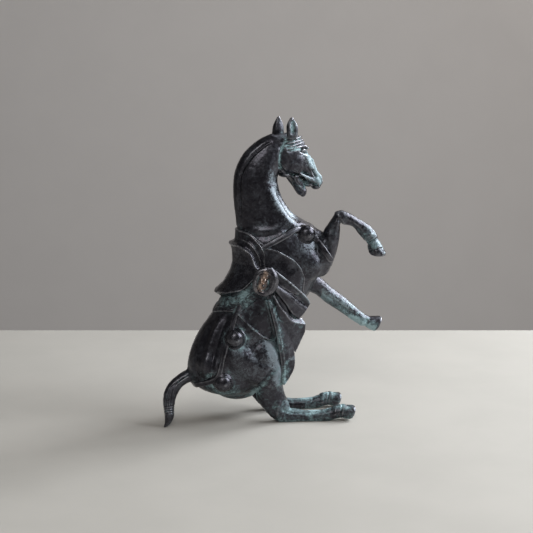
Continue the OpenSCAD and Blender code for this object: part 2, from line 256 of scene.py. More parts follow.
def at(u, w, y):
    """The place at depth y that appears at (u, w) in the drawing."""
    k = (y - VIEWER[1]) / -VIEWER[1]
    return np.array([VIEWER[0] + (u - VIEWER[0]) * k, y, VIEWER[2] + (w - VIEWER[2]) * k])


# The head is turned to the horse's left about the poll.
POLL_X = 12
YAW = math.radians(18)
ACROSS_HEAD = np.array([-math.sin(YAW), math.cos(YAW), 0])


def face(u, w, s):
    """A place on the head drawn at (u, w), s to the left of its middle; below 0 it is on the near side."""
    p = at(u, w, (u - POLL_X) * math.tan(YAW) - abs(s))
    if s > 0:
        p -= 2 * ((p - [POLL_X, 0, 0]) @ ACROSS_HEAD) * ACROSS_HEAD
    return p


# Which places belong to the head, the feet and the tail.
def on_head(x, z):
    return (z > 222) & (x > 8 + 0.55 * np.clip(250 - z, 0, 26)) & (x < 75)


def on_raised_leg(x, z):
    return (x > 58) & (z > 155) & (z < 222)


def on_tail(x):
    return x < -82


def twin(co):
    """Every point's place on the near side of whatever it belongs to."""
    x, y, z = co.T
    ahead, hind = np.maximum(x, 0), (z < 34) & (x > -12)
    near_hind, far_hind = -19.5 - 0.2 * ahead, 19.5 - 0.11 * ahead
    tail = np.interp(z, [0, 26, 42, 57], [-10, -5, -1, 0])
    mid, to = np.zeros(len(co)), np.zeros(len(co))
    for where, m, t in (
        (on_raised_leg(x, z), -24.5, -24.5),
        ((x > 60) & (z < 140), 15.5, 15.5),
        (hind & (y < 0), near_hind, near_hind),
        (hind & (y > 0), far_hind, near_hind),
        (x < -84, tail, tail),
    ):
        mid, to = np.where(where, m, mid), np.where(where, t, to)
    p = co.copy()
    p[:, 1] = to - np.abs(y - mid)
    far = (co - [POLL_X, 0, 0]) @ ACROSS_HEAD
    q = co - 2 * np.maximum(far, 0)[:, None] * ACROSS_HEAD
    return np.where(on_head(x, z)[:, None], q, p)


def distance(u, w, path):
    """Distance from a drawn line, how far along it (0 to 1), and whether the place lies to its right."""
    p = np.stack([u, w], 1)
    best, where, right = np.full(len(p), 1e9), np.zeros(len(p)), np.zeros(len(p), bool)
    for i, (a, b) in enumerate(zip(path[:-1], path[1:])):
        d = b - a
        t = np.clip(((p - a) @ d) / (d @ d), 0, 1)
        off = p - a - t[:, None] * d
        q = np.hypot(off[:, 0], off[:, 1])
        take = q < best
        best[take] = q[take]
        where[take] = (i + t[take]) / (len(path) - 1)
        right[take] = (d[0] * off[take, 1] - d[1] * off[take, 0]) < 0
    return best, where, right


def inside(u, w, outline):
    """Signed distance to a closed drawn outline, above 0 inside it."""
    path = curve([*outline, outline[0]], 3)
    best = distance(u, w, path)[0]
    hit = np.zeros(len(u), bool)
    for a, b in zip(path[:-1], path[1:]):
        cross = (a[1] > w) != (b[1] > w)
        hit ^= cross & (u < a[0] + (w - a[1]) * (b[0] - a[0]) / (b[1] - a[1] + 1e-12))
    return np.where(hit, best, -best)


class Clay:
    """Moves the points of a mesh along their normals, and paints it. Marks are drawn as seen from VIEWER."""

    def __init__(self, me):
        self.me = me
        self.move = np.zeros(len(me.vertices))
        self.layers = {"green": np.zeros(len(me.vertices)), "dust_rub_and_highlight": np.zeros(len(me.vertices))}
        self.look()

    def look(self):
        self.co, self.n = coords(self.me), normals(self.me)
        self.twin = twin(self.co)
        self.u, self.w = drawn(self.twin)

    def touch(self, path, width, only, per, fade=0.0):
        """Which points lie near a drawn line, and how strongly it touches them."""
        path = curve(path, per)
        lo, hi = path.min(0) - 3 * width, path.max(0) + 3 * width
        near = (self.u > lo[0]) & (self.u < hi[0]) & (self.w > lo[1]) & (self.w < hi[1])
        near = np.flatnonzero(near if only is None else near & only)
        d, where, _ = distance(self.u[near], self.w[near], path)
        amount = np.exp(-((d / width) ** 2))
        if fade:
            amount *= np.clip(np.minimum(where, 1 - where) / fade, 0, 1) ** 0.7
        return near, amount

    def carve(self, only, *marks):
        """Grooves (height below 0) and ridges; a mark is a path, width, height and maybe a fade."""
        for path, width, height, *fade in marks:
            near, amount = self.touch(path, width, only, 5, *fade)
            self.move[near] += height * amount

    def paint(self, kind, only, *marks):
        """Adds verdigris green, or grey powder, rubbed copper and painted highlight; a mark is a path, width,
        strength and maybe a fade.
        """
        for path, width, strength, *fade in marks:
            near, amount = self.touch(path, width, only, 4, *fade)
            self.layers[kind][near] += strength * amount

    def swell(self, only, *marks):
        """Rounded swellings on both sides; a mark is its centre, radii and height."""
        for centre, radii, height in marks:
            self.move += height * np.exp(-(((self.twin - centre) / radii) ** 2).sum(1)) * only

    def dimple(self, height):
        """The slow unevenness of a cast surface."""
        lumps = relaxed(rng.normal(size=(len(self.co), 3))[:, :1], edges_of(self.me), 14)[:, 0]
        self.move += lumps / lumps.std() * height

    def apply(self):
        set_coords(self.me, self.co + self.n * self.move[:, None])
        self.move[:] = 0
        self.look()

    def painted(self):
        for kind, value in self.layers.items():
            store(self.me, kind, value)
        return self.me


# ---- finish of each piece
def store(me, kind, value):
    """Gives every point a value that the materials read."""
    me.attributes.new(kind, "FLOAT", "POINT").data.foreach_set("value", value.astype(np.float32))


def find_hollows(me, deep=26, fine=5):
    """Stores how deep in a hollow (above 0) or how far out on an edge (below 0) each point lies."""
    co, e, n = coords(me), edges_of(me), normals(me)
    small = ((relaxed(co, e, fine) - co) * n).sum(1)
    broad = ((relaxed(co, e, deep) - co) * n).sum(1)
    wear = relaxed((small * 3.0 + broad * 0.9)[:, None], e, 1)[:, 0]
    store(me, "hollow", np.clip(wear, -2, 2))


def finish_piece(me, name, material, slot):
    """Puts a sculpted piece in its place in the part's frame, standing for its CAD node."""
    if "hollow" not in me.attributes:
        find_hollows(me)
    set_coords(me, (coords(me) + ORIGIN) * MM)
    me.name = name
    me.materials.clear()
    me.materials.append(material)
    me.polygons.foreach_set("use_smooth", np.ones(len(me.polygons), bool))
    ob = linked(name, me)
    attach(ob, "root")
    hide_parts(name.removesuffix("_cast"))


def quads_of(me):
    """The corners of the faces of a mesh made of quads."""
    return read(me.loops, "vertex_index", kind=int).reshape(-1, 4)


def sawn_along(me, cuts):
    """The mesh with its faces divided where they meet the planes of the cuts."""
    bm = bmesh.new()
    bm.from_mesh(me)
    bm.faces.ensure_lookup_table()
    before, corners = list(bm.faces), coords(me)[quads_of(me)]
    for _, seed, reach, planes in cuts:
        near = np.linalg.norm(corners[:, 0] - seed, axis=1) < reach
        for point, normal in planes:
            side = (corners - point) @ np.array(normal, float)
            crossed = np.flatnonzero(near & (side.min(1) <= 0) & (side.max(1) >= 0))
            faces = [before[i] for i in crossed if before[i].is_valid]
            geom = dict.fromkeys(faces)
            for f in faces:
                geom.update(dict.fromkeys([*f.edges, *f.verts]))
            bmesh.ops.bisect_plane(bm, geom=list(geom), dist=1e-5, plane_co=point, plane_no=normal)
    return meshed(bm)


def split(me, cuts):
    """Saws a closed mesh along planes into closed pieces; a cut is (name, seed, reach, planes)."""
    sawn = sawn_along(me, cuts)
    co, n = coords(sawn), len(sawn.polygons)
    start = read(sawn.polygons, "loop_start", kind=int)
    verts, edges = (read(sawn.loops, name, kind=int) for name in ("vertex_index", "edge_index"))
    size = np.diff(np.append(start, len(verts)))
    owner = np.repeat(np.arange(n), size)
    centre = np.add.reduceat(co[verts], start) / size[:, None]
    # the face across each edge of each face
    order = np.argsort(edges, kind="stable")
    across = np.empty(len(verts), int)
    across[order[0::2]], across[order[1::2]] = owner[order[1::2]], owner[order[0::2]]
    part = np.zeros(n, int)
    for label, (_, seed, _, planes) in enumerate(cuts, 1):
        free = part == 0
        for point, normal in planes:
            free &= (centre - point) @ np.array(normal, float) > 0
        reached = np.flatnonzero(free)
        reached = reached[[np.argmin(((centre[reached] - seed) ** 2).sum(1))]]
        while len(reached):
            part[reached] = label
            loops = start[reached, None] + np.minimum(np.arange(size.max()), size[reached, None] - 1)
            reached = np.unique(across[loops])
            reached = reached[free[reached] & (part[reached] == 0)]
    out = {}
    for label, name in enumerate(["rest"] + [cut[0] for cut in cuts]):
        mine = part == label
        used, index = np.unique(verts[mine[owner]], return_inverse=True)
        piece = capped(mesh_of(co[used], np.split(index, np.cumsum(size[mine])[:-1])))
        for kind in ("hollow", "green", "dust_rub_and_highlight"):
            store(piece, kind, read(sawn.attributes[kind].data, "value", kind=np.float32)[used])
        out[name] = piece
    return out


def capped(me):
    """The mesh with its open ends closed, and a sharp edge round each cap."""
    bm = bmesh.new()
    bm.from_mesh(me)
    rim = [e for e in bm.edges if len(e.link_faces) == 1]
    for e in rim:
        e.smooth = False
    caps = bmesh.ops.holes_fill(bm, edges=rim, sides=0)["faces"]
    bmesh.ops.triangulate(bm, faces=caps)
    bm.to_mesh(me)
    bm.free()
    return me


# ---- materials
def srgb(*c):
    return tuple(((v / 255 + 0.055) / 1.055) ** 2.4 if v > 10 else v / 255 / 12.92 for v in c) + (1.0,)


class Nodes:
    """A material with a short way to add nodes to it."""

    def __init__(self, name):
        self.mat = bpy.data.materials.new(name)
        self.mat.use_nodes = True
        self.t = self.mat.node_tree
        self.bsdf = self.t.nodes["Principled BSDF"]

    def feed(self, socket, value):
        """Links a node's output to the socket, or sets a constant on it."""
        if isinstance(value, bpy.types.NodeSocket):
            self.t.links.new(value, socket)
        else:
            socket.default_value = value

    def new(self, kind, ins=None, **props):
        n = self.t.nodes.new("ShaderNode" + kind)
        for k, v in props.items():
            setattr(n, k, v)
        for k, v in (ins or {}).items():
            self.feed(n.inputs[k], v)
        return n

    def math(self, op, a, b=0.0, c=0.0):
        return self.new("Math", {0: a, 1: b, 2: c}, operation=op).outputs[0]

    def clamp(self, value, low, high, to_low=0.0, to_high=1.0):
        ins = {"Value": value, "From Min": low, "From Max": high, "To Min": to_low, "To Max": to_high}
        return self.new("MapRange", ins, interpolation_type="SMOOTHSTEP").outputs["Result"]

    def noise(self, at, scale, detail=4.0, rough=0.55, distortion=0.0):
        ins = {"Vector": at, "Scale": scale, "Detail": detail, "Roughness": rough, "Distortion": distortion}
        return self.new("TexNoise", ins).outputs["Fac"]

    def mix(self, fac, a, b):
        return self.new("Mix", {0: fac, 6: a, 7: b}, data_type="RGBA").outputs[2]

    def total(self, *terms):
        """Sum of (value, weight) pairs."""
        out = 0.0
        for value, weight in terms:
            out = self.math("MULTIPLY_ADD", value, weight, out)
        return out

    def place(self):
        return self.new("NewGeometry").outputs["Position"]

    def stored(self, name):
        return self.new("Attribute", attribute_name=name).outputs["Fac"]

    def bump(self, height, strength, distance):
        bumps = self.new("Bump", {"Strength": strength, "Distance": distance, "Height": height})
        self.feed(self.bsdf.inputs["Normal"], bumps.outputs["Normal"])


BRONZE, RUBBED, DUST_AND_HIGHLIGHT_COLOUR = (74, 73, 79), (184, 184, 190), (128, 141, 150)
DEEP_GREEN, MID_GREEN, PALE_GREEN = srgb(46, 63, 68), srgb(84, 109, 113), srgb(158, 186, 191)
HOLLOW_SHADE = srgb(14, 17, 18)


def patina(name, green=0.0, worn=0.0, dust_rub_and_highlight_colour=DUST_AND_HIGHLIGHT_COLOUR, low_green=0.0, film=0.14, gloss=0.0, polished=False):
    """Near-black bronze under teal verdigris and a grey powdery film with painted highlights, edges rubbed
    paler and deep hollows painted dark as shade.

    green and worn widen the verdigris and the rubbed edges, low_green adds verdigris towards the ground, and
    film is the grey powder where neither powder nor highlight is painted.
    """
    m = Nodes(name)
    at = m.place()
    hollow, painted_dust_and_highlight = m.stored("hollow"), m.stored("dust_rub_and_highlight")
    shade = m.new("AmbientOcclusion", {"Distance": 0.007}, samples=6, only_local=False).outputs["AO"]
    clouds = m.noise(at, 42.0, 3.0, 0.55, 0.5)
    spots = m.noise(at, 165.0, 5.0, 0.62, 0.8)
    specks = m.noise(at, 520.0, 5.0, 0.7, 0.4)
    grain = m.noise(at, 1500.0, 3.0, 0.6)

    # verdigris: mottled, and more of it in hollows, in corners, near the ground and where it is painted
    mottle = m.total((clouds, 0.24), (spots, 0.34), (specks, 0.28), (grain, 0.14))
    low = m.clamp(m.new("SeparateXYZ", {0: at}).outputs["Z"], 0.07, 0.0, 0.0, low_green)
    drive = m.total((mottle, 1.0), (m.stored("green"), 0.19), (m.clamp(hollow, 0.05, 1.2), 0.06),
                    (m.math("SUBTRACT", 1.0, shade), 0.13), (low, 0.2))
    verdigris = m.clamp(drive, 0.575 - green, 0.715 - green, 0.0, 0.92)
    pale = m.clamp(drive, 0.65 - green, 0.79 - green)
    greens = m.mix(m.clamp(spots, 0.35, 0.65), DEEP_GREEN, MID_GREEN)
    greens = m.mix(pale, greens, PALE_GREEN)

    # bronze, with rubbed edges, and a grey powder that also carries painted highlights
    edge = m.clamp(m.math("MULTIPLY", hollow, -1.0), 0.12 - worn, 0.95 - worn)
    edge = m.math("MULTIPLY", edge, m.clamp(spots, 0.3, 0.6, 0.2, 1.0))
    dust_and_highlight_mottle = m.total((clouds, 0.2), (spots, 0.25), (specks, 0.35), (grain, 0.2), (painted_dust_and_highlight, 0.045))
    dust_rub_and_highlight = m.math("MULTIPLY", m.clamp(dust_and_highlight_mottle, 0.48, 0.60), m.math("MULTIPLY_ADD", painted_dust_and_highlight, 0.6, film))
    cloudy = m.clamp(m.total((clouds, 0.5), (spots, 0.5)), 0.38, 0.62)
    bronze = m.mix(cloudy, srgb(*(v - 16 for v in BRONZE)), srgb(*BRONZE))
    bronze = m.mix(m.math("MULTIPLY", edge, 0.6), bronze, srgb(*RUBBED))
    bronze = m.mix(m.math("MINIMUM", dust_rub_and_highlight, 0.8), bronze, srgb(*dust_rub_and_highlight_colour))

    # painted shade: deep hollows darkened towards near-black
    hollow_shade = m.math("MULTIPLY", m.clamp(hollow, 0.6, 1.7, 0.0, 0.7), m.math("SUBTRACT", 1.0, pale))
    m.feed(m.bsdf.inputs["Base Color"], m.mix(hollow_shade, m.mix(verdigris, bronze, greens), HOLLOW_SHADE))
    covered = m.math("MAXIMUM", verdigris, m.math("MULTIPLY", dust_rub_and_highlight, 0.2 if polished else 0.8))
    m.feed(m.bsdf.inputs["Metallic"], m.math("MULTIPLY", m.math("SUBTRACT", 1.0, covered), 0.95))
    fine = m.total((spots, 0.5), (specks, 0.5))
    bare_rough = m.clamp(fine, 0.35, 0.65, 0.26 - gloss, 0.40 - gloss)
    m.feed(m.bsdf.inputs["Roughness"], m.total((bare_rough, 1.0), (verdigris, 0.26), (dust_rub_and_highlight, 0.15)))
    m.bsdf.inputs["Specular IOR Level"].default_value = 0.6
    m.bump(m.total((spots, 0.5), (specks, 0.5), (grain, 0.3), (verdigris, 0.35)), 0.3, 0.0004)
    return m.mat


BODY = patina("bronze_body", low_green=0.25)
HEAD = patina("bronze_head", 0.02, -0.05, dust_rub_and_highlight_colour=(168, 190, 198), gloss=-0.07)
LEGS = patina("bronze_legs", 0.015, 0.05, dust_rub_and_highlight_colour=(150, 172, 178), low_green=0.4)
SADDLE = patina("bronze_saddle", -0.01, 0.1, gloss=0.05)
CLOTH = patina("bronze_cloth", 0.015, 0.12)
PAD = patina("bronze_pad", 0.05)
STRAP = patina("bronze_strap", 0.01, 0.08)
COPPER = patina("bronze_rubbed", -0.02, 0.25, dust_rub_and_highlight_colour=(206, 178, 160), film=0.0, gloss=0.07, polished=True)


# ---- the horse's skin
VOXEL = 0.5
FINER = (0.5 / VOXEL) ** 2
SKIN_ROUNDS = round(280 * FINER)
ON_HEAD, ON_EARS, ON_LIMBS = 0.14, 0.05, 0.15
LOCK_GAP = 3.1
HEADWAY = 0.325  # sideways for each millimetre ahead of the poll, as the head is turned


def softness(co):
    """How much each place is smoothed: little on the head and feet, fully on the body."""
    x, y, z = co.T
    w = np.ones(len(co))
    w[on_head(x, z)] = ON_HEAD
    w[z > 289] = ON_EARS
    w[(x > 60) & (z > 150) & (z < 222)] = ON_LIMBS
    w[(x > 58) & (z < 140)] = ON_LIMBS
    w[(z < 26) & (x > -15)] = ON_LIMBS
    w[on_tail(x)] = ON_LIMBS
    return w


def head_parts():
    """Forms added to the plain CAD head: eyes, brows, lips, nostrils, jaw muscle and brow hair."""
    parts = []
    for s in (-1, 1):
        parts += [
            ball(face(27, 260, 7.0 * s), (12.5, 6.4, 13.0)),
            ball(face(26, 277, 3.0 * s), (10.0, 7.5, 10.5)),
            ball(face(17.5, 263, 6.0 * s), (8.0, 6.0, 14.0)),
            ball(face(21, 273, 5.4 * s), (8.5, 6.4, 9.0)),
            ball(face(40.2, 270.2, 6.5 * s), (2.7, 2.1, 1.8), 12),
        ]
        for bar, radii in (
            ([(33, 273.6, 8.6), (38.5, 275.2, 9.2), (43.4, 272.6, 7.4)], [1.2, 1.7, 1.1]),
            ([(45.5, 262, 5.6), (49.5, 252, 5.4), (52.5, 246, 5.2)], [2.4, 2.2, 2.4]),
            ([(50.5, 249, 5.2), (55.0, 244, 4.6), (55.6, 240, 3.9)], [1.8, 2.1, 1.8]),
            ([(33, 248, 7.4), (41, 244, 6.6), (49, 240, 5.4), (54.4, 236.8, 3.4)], [1.8, 2.4, 2.6, 2.2]),
            ([(29, 244, 6.8), (32, 239, 6.0), (36.4, 231.5, 4.4)], [2.2, 2.2, 2.0]),
        ):
            parts.append(tube([face(u, w, depth * s) for u, w, depth in bar], radii))
    # muzzle, lips, chin, jaw and throat
    for u, w, radii, turn in (
        (53.6, 239.6, (4.0, 5.8, 4.6), 30),
        (50.4, 236.2, (5.6, 5.2, 4.6), -14),
        (43, 239.4, (7.0, 5.0, 5.0), -10),
        (37.4, 230.2, (3.8, 5.2, 5.8), 0),
        (32, 238, (5.6, 5.8, 8.6), 24),
        (20, 250, (8.6, 8.6, 5.2), 4),
    ):
        parts.append(ball(face(u, w, 0), radii, turn))
    # wavy locks over the brow
    for k in range(4):
        w = 286.5 - LOCK_GAP * k
        for s in (-1, 1):
            bar = [(18.5 + 0.8 * k, w - 4.6, 10.6), (24, w - 5.0 + 0.6 * (k % 2), 12.6), (31, w - 3.4, 11.2),
                   (36.2 + 1.3 * k, w - 1.2, 4.8)]
            radii = [0.9, 1.5 - 0.08 * k, 1.35, 0.8]
            parts.append(tube([face(u, v, depth * s) for u, v, depth in bar], radii))
    return parts


def ear_parts():
    """Broad leaf-shaped ears round the CAD ones."""
    parts = []
    for name, radii in (("ear_right", [5.2, 6.0, 5.0, 1.9]), ("ear_left", [6.2, 5.6, 3.6, 0.9])):
        me = joined([], [name])
        co = coords(me)
        foot, tip = co[co[:, 2] < 292].mean(0), co[co[:, 2].argmax()]
        line = [foot - [0, 0, 2], foot * 0.6 + tip * 0.4, foot * 0.3 + tip * 0.7, tip + [0, 0, 0.5]]
        parts.append(tube(line, radii, 12, 0.55))
        bpy.data.meshes.remove(me)
    return parts


def body_parts():
    """Muscle that rounds the haunch into the gaskin, and the hang of the belly."""
    parts = [ball((-30, 0, 46), (32, 21, 25.5))]
    for s in (-1, 1):
        parts += [
            tube([(-16, 20 * s, 66), (-4, 20 * s, 56), (1, 19.5 * s, 44)], [15, 13.5, 12], 16),
            ball((-28, 13 * s, 66), (30, 20.5, 34)),
            ball((-12, 14 * s, 70), (24, 23.4, 27)),
            ball((-6, 18 * s, 56), (18, 17.5, 22)),
        ]
    return parts


def slim_neck():
    """The neck with its upper end drawn in, so that it runs into the head without a ring."""
    me = joined([], ["neck"])
    co = coords(me)
    x, y, z = co.T
    t = np.clip((x + 2) / 20, 0, 1) * (z > 240)
    co[:, 1] = y * (1 - 0.3 * t) + t * np.maximum(x - POLL_X, 0) * HEADWAY
    set_coords(me, co)
    return me


def shifted(path, du, dw):
    return [(a + du, b + dw) for a, b in path]


HORSE = ["hindquarters", "forebody", "head", "lower_jaw", "ear_right", "ear_left", "foreleg_right",
         "foreleg_left", "hind_leg_right", "hind_leg_left", "tail"]
forms = head_parts() + ear_parts() + body_parts() + [slim_neck()]
skin = cast(joined(forms, HORSE), VOXEL, SKIN_ROUNDS, softness)
bare, bare_n = coords(skin), normals(skin)

clay = Clay(skin)
x, y, z = clay.co.T
head = on_head(x, z)
body = (z > 20) & (z < 205) & (x < 60) & ~head
neck = (z > 192) & (x < 50) & ~head
raised = on_raised_leg(x, z)
far_fore = (x > 60) & (z < 140)
low = (z < 26) & (x > -15)
tail = on_tail(x)

# crest of the mane and groove of the throat
MANE = [(6, 281), (-2, 277), (-12, 269.5), (-19, 261.5), (-24, 253), (-26.5, 246), (-27.3, 236), (-27.3, 228),
        (-26.5, 218), (-26, 206)]
JUGULAR = [(9, 236), (13.5, 226), (19.5, 215.5), (26.5, 206), (35, 199)]
clay.carve(
    neck,
    (MANE, 1.3, -1.5, 0.12),
    (shifted(MANE, -3.4, 1.6), 2.6, 0.5, 0.15))
clay.carve(
    None,
    (JUGULAR, 2.2, -1.8, 0.25),
    (shifted(JUGULAR, -5.4, -2.4), 4.0, 1.7, 0.25),
    ([(50, 190), (58, 186), (63, 177), (64, 166)], 3.0, -1.6, 0.2),
    ([(7, 49), (1, 40), (-7, 31), (-13, 22)], 2.2, -1.5, 0.15),
    ([(12, 47), (6, 36), (0, 27)], 2.6, 0.9, 0.2))
# root of the neck, rump, flank and haunch
RUMP = [(-38, 112), (-46, 95), (-51, 80), (-55, 66), (-58, 50)]
clay.carve(
    body,
    ([(-30, 199), (-18, 191), (-4, 186.5), (12, 189), (28, 196)], 4.0, -1.5, 0.1),
    (RUMP, 3.2, -2.0, 0.12),
    (shifted(RUMP, -7.5, -1), 2.4, 0.9, 0.15),
    (shifted(RUMP, -14, -3), 2.8, -0.8, 0.2),
    ([(-57.5, 46), (-60.5, 38)], 2.0, -2.6),
    ([(0, 78), (8, 66), (12, 52), (14, 38)], 3.2, 1.2, 0.2))
# over the pin of the neck joint, the breast, the ribs and the haunch
clay.swell(body | neck, ((8, -24, 193), (6, 9, 6), 1.7))
clay.swell(
    body,
    ((42, -22, 166), (15, 11, 17), 2.2),
    ((30, -24, 150), (13, 9, 12), 1.2),
    ((-22, -24, 62), (22, 12, 20), 1.6))
# legs: tendons, knees and the line above each hoof
clay.carve(
    raised,
    ([(74, 201), (77.5, 196.5), (79, 190)], 1.7, -1.0, 0.2),
    ([(81, 198), (91, 193.5), (101, 184)], 1.3, -1.0, 0.2),
    ([(104, 171), (109, 174.5), (117, 178.5)], 1.0, -1.4),
    ([(101, 177), (107, 181), (112, 184)], 2.0, 0.9, 0.2),
    ([(108, 166), (114, 166.5), (121, 168)], 0.8, -0.6))
clay.carve(
    far_fore,
    ([(56, 127), (70, 117), (84, 106), (95, 98)], 1.4, -0.9, 0.2),
    ([(102, 79), (105, 86), (107, 93)], 1.1, -1.3),
    ([(98, 83), (101, 90), (104, 97)], 2.0, 0.8, 0.2))
clay.carve(
    low,
    ([(21, 1.6), (37, -0.4), (57, -1), (65, 0.4)], 1.2, -0.8, 0.15),
    ([(83, 13), (81, 4), (79.5, -6)], 0.95, -1.4),
    ([(75, 13), (74, 3), (73.5, -5)], 2.0, 0.7),
    ([(14, 14), (12, 5), (11, -3)], 2.4, 0.9, 0.2),
    ([(19, 16), (18, 6), (20, 1)], 1.8, -1.0, 0.2))
# tail: strands along it and rings near the tip
TAIL = [(-80, 49), (-88, 45), (-97, 38), (-101, 28), (-102, 18), (-104, 8)]
for across in (-2.2, 0.0, 2.2):
    clay.carve(tail, (shifted(TAIL, across, across * 0.5), 0.7, -0.5, 0.1))
for height in (11.2, 13.6, 16.0, 18.4):
    clay.carve(tail, ([(-116, height + 0.6), (-103, height - 0.6), (-88, height + 0.4)], 0.55, -0.8))
# head: cheek, jaw, eye, mouth, nostrils and the lines of the chin
CHEEK = [(19.5, 281), (15.4, 272), (14.2, 264), (14.2, 256), (19.6, 250), (25, 247.4), (30, 245)]
clay.carve(
    head,
    (CHEEK, 1.3, -2.0, 0.1),
    ([(24, 251), (31, 247.5), (36, 247.6)], 1.0, -1.0, 0.2),
    ([(35.4, 270.8), (38.5, 273.0), (41.6, 272.6), (44.2, 269.6)], 1.1, -2.2),
    ([(36, 269.6), (39.4, 268.4), (42.4, 268.2), (44.6, 266.8)], 0.7, -1.2),
    ([(37, 266.8), (41, 265.4), (44.8, 264.8)], 0.8, 0.5, 0.2),
    ([(40, 262), (44, 252), (47, 246)], 1.6, -0.8, 0.2),
    ([(48.2, 250.6), (49.6, 247.2), (51.4, 244.2)], 1.2, -2.8),
    ([(34, 246), (38, 243.4), (41.4, 238), (46, 238), (51, 235.6), (54, 234)], 0.9, -1.8, 0.1),
    ([(50, 237.5), (53, 234.6)], 0.7, -0.8),
    ([(27, 241), (30.5, 236), (36, 231)], 0.7, -0.6, 0.2),
    ([(30, 243), (32.75, 238.5), (37.5, 234)], 0.7, -0.6, 0.2))
# strands between the locks over the brow
for k in range(4):
    w = 280.4 - LOCK_GAP * k
    strand = [(19 + 0.8 * k, w), (24.5, w - 0.3), (31, w + 1.2), (36 + 1.3 * k, w + 3.4)]
    clay.carve(head, (strand, 0.7, -1.1, 0.15))
    clay.paint("green", head, (strand, 0.9, 0.3, 0.15))
# hollow of each ear
EAR = [(26.9, 290), (27.3, 295), (27.0, 299.5)]
ear = (z > 288) & (clay.n[:, 1] < 0.3) & (y < 3)
clay.carve(ear, (EAR, 2.3, -2.6))
clay.paint("dust_rub_and_highlight", ear, (EAR, 2.4, 0.8))
clay.paint("green", ear, (EAR, 3, 0.7))
clay.dimple(0.045)
clay.apply()

# verdigris where water stands and hands don't rub: hocks, cannons, seat, muzzle, valleys
clay.paint(
    "green", body,
    ([(-70, 44), (-50, 32), (-30, 26), (-12, 26)], 9, 0.5),
    ([(-60, 46), (-56, 38)], 4, 0.5),
    ([(-38, 110), (-44, 92), (-50, 72), (-58, 50)], 6, 0.3),
    ([(-24, 96), (-30, 88), (-34, 76), (-24, 72), (-22, 82)], 6, 0.4),
    ([(8, 70), (12, 50), (14, 38)], 3, 0.5),
    ([(-14, 24), (-2, 34), (8, 46)], 4, 0.7))
clay.paint("green", body | neck, ([(-30, 198), (-10, 186), (10, 186), (30, 194)], 6, 0.35))
clay.paint(
    "green", low,
    ([(8, 20), (12, 8), (30, 2), (50, 1), (64, 2)], 5, 0.25),
    ([(80, 6), (86, 8)], 7, 0.55),
    ([(52, 4), (62, 6)], 5, 0.7))
clay.paint(
    "green", raised,
    ([(104, 178), (112, 170)], 8, 0.4),
    ([(96, 188), (106, 176), (114, 168)], 6, 0.3))
clay.paint(
    "green", far_fore,
    ([(98, 92), (112, 84)], 10, 1.0),
    ([(72, 110), (90, 98)], 6, 0.6),
    ([(60, 120), (80, 106), (98, 92), (112, 84)], 6, 0.35))
clay.paint(
    "green", head,
    ([(40, 248), (47, 243), (54, 238), (48, 232), (40, 236)], 4.5, 0.4),
    ([(19.7, 275.5), (27, 272.8), (34, 272)], 1.8, 0.9),
    ([(30, 240), (36, 232)], 5, 0.4),
    ([(43, 268), (49, 256), (55, 243), (54, 236)], 4.2, 0.3))
clay.paint("green", head | neck, ([(20, 281), (14.6, 272), (13.6, 262), (14, 254)], 2.2, 1.0))
# painted highlights, mixed with grey powder, on what faces the light
clay.paint(
    "dust_rub_and_highlight", body,
    ([(4, 80), (8, 66), (12, 50), (13, 38)], 7, 2.0),
    ([(-30, 78), (-10, 76), (4, 72)], 7, 0.45),
    ([(40, 172), (50, 176), (58, 180)], 8, 0.6),
    ([(-30, 66), (-20, 48), (0, 66)], 14, 0.4),
    ([(44, 150), (52, 160), (54, 172)], 8, 0.4))
clay.paint(
    "dust_rub_and_highlight", body | neck,
    ([(5, 248), (7, 232), (13, 217), (26, 203)], 4.5, 1.4),
    ([(-6, 198), (10, 196), (26, 200)], 7, 0.4))
clay.paint("dust_rub_and_highlight", low, ([(70, 8), (84, 8)], 6, 0.6), ([(18, 6), (34, 4), (50, 3), (66, 4)], 4, 1.2))
clay.paint("dust_rub_and_highlight", raised, ([(110, 178), (122, 170)], 9, 0.9))
clay.paint("dust_rub_and_highlight", far_fore, ([(60, 122), (84, 108), (106, 92)], 6, 1.2))
clay.paint(
    "dust_rub_and_highlight", head,
    ([(43, 268), (49, 256), (54.6, 243), (55, 238)], 4.2, 1.6),
    ([(38, 246), (44, 243)], 2.4, 0.8),
    ([(46, 262), (52, 250), (55, 243)], 2.4, 0.5))
clay.paint("dust_rub_and_highlight", head | neck, ([(19, 280), (14, 271), (12.8, 262)], 1.8, 0.8))
# both round the rump bosses
RUMP_BOSSES = [(-32.6, 83.2, -31.8), (-45.3, 38.2, -28.5)]
for u, w, _ in RUMP_BOSSES:
    around = [(u + 11 * math.cos(k), w + 11 * math.sin(k)) for k in range(7)]
    clay.paint("green", body, (around, 4, 0.45))
    clay.paint("dust_rub_and_highlight", body, (around, 4, 0.5))
find_hollows(skin, round(26 * FINER), max(2, round(5 * FINER)))
clay.painted()

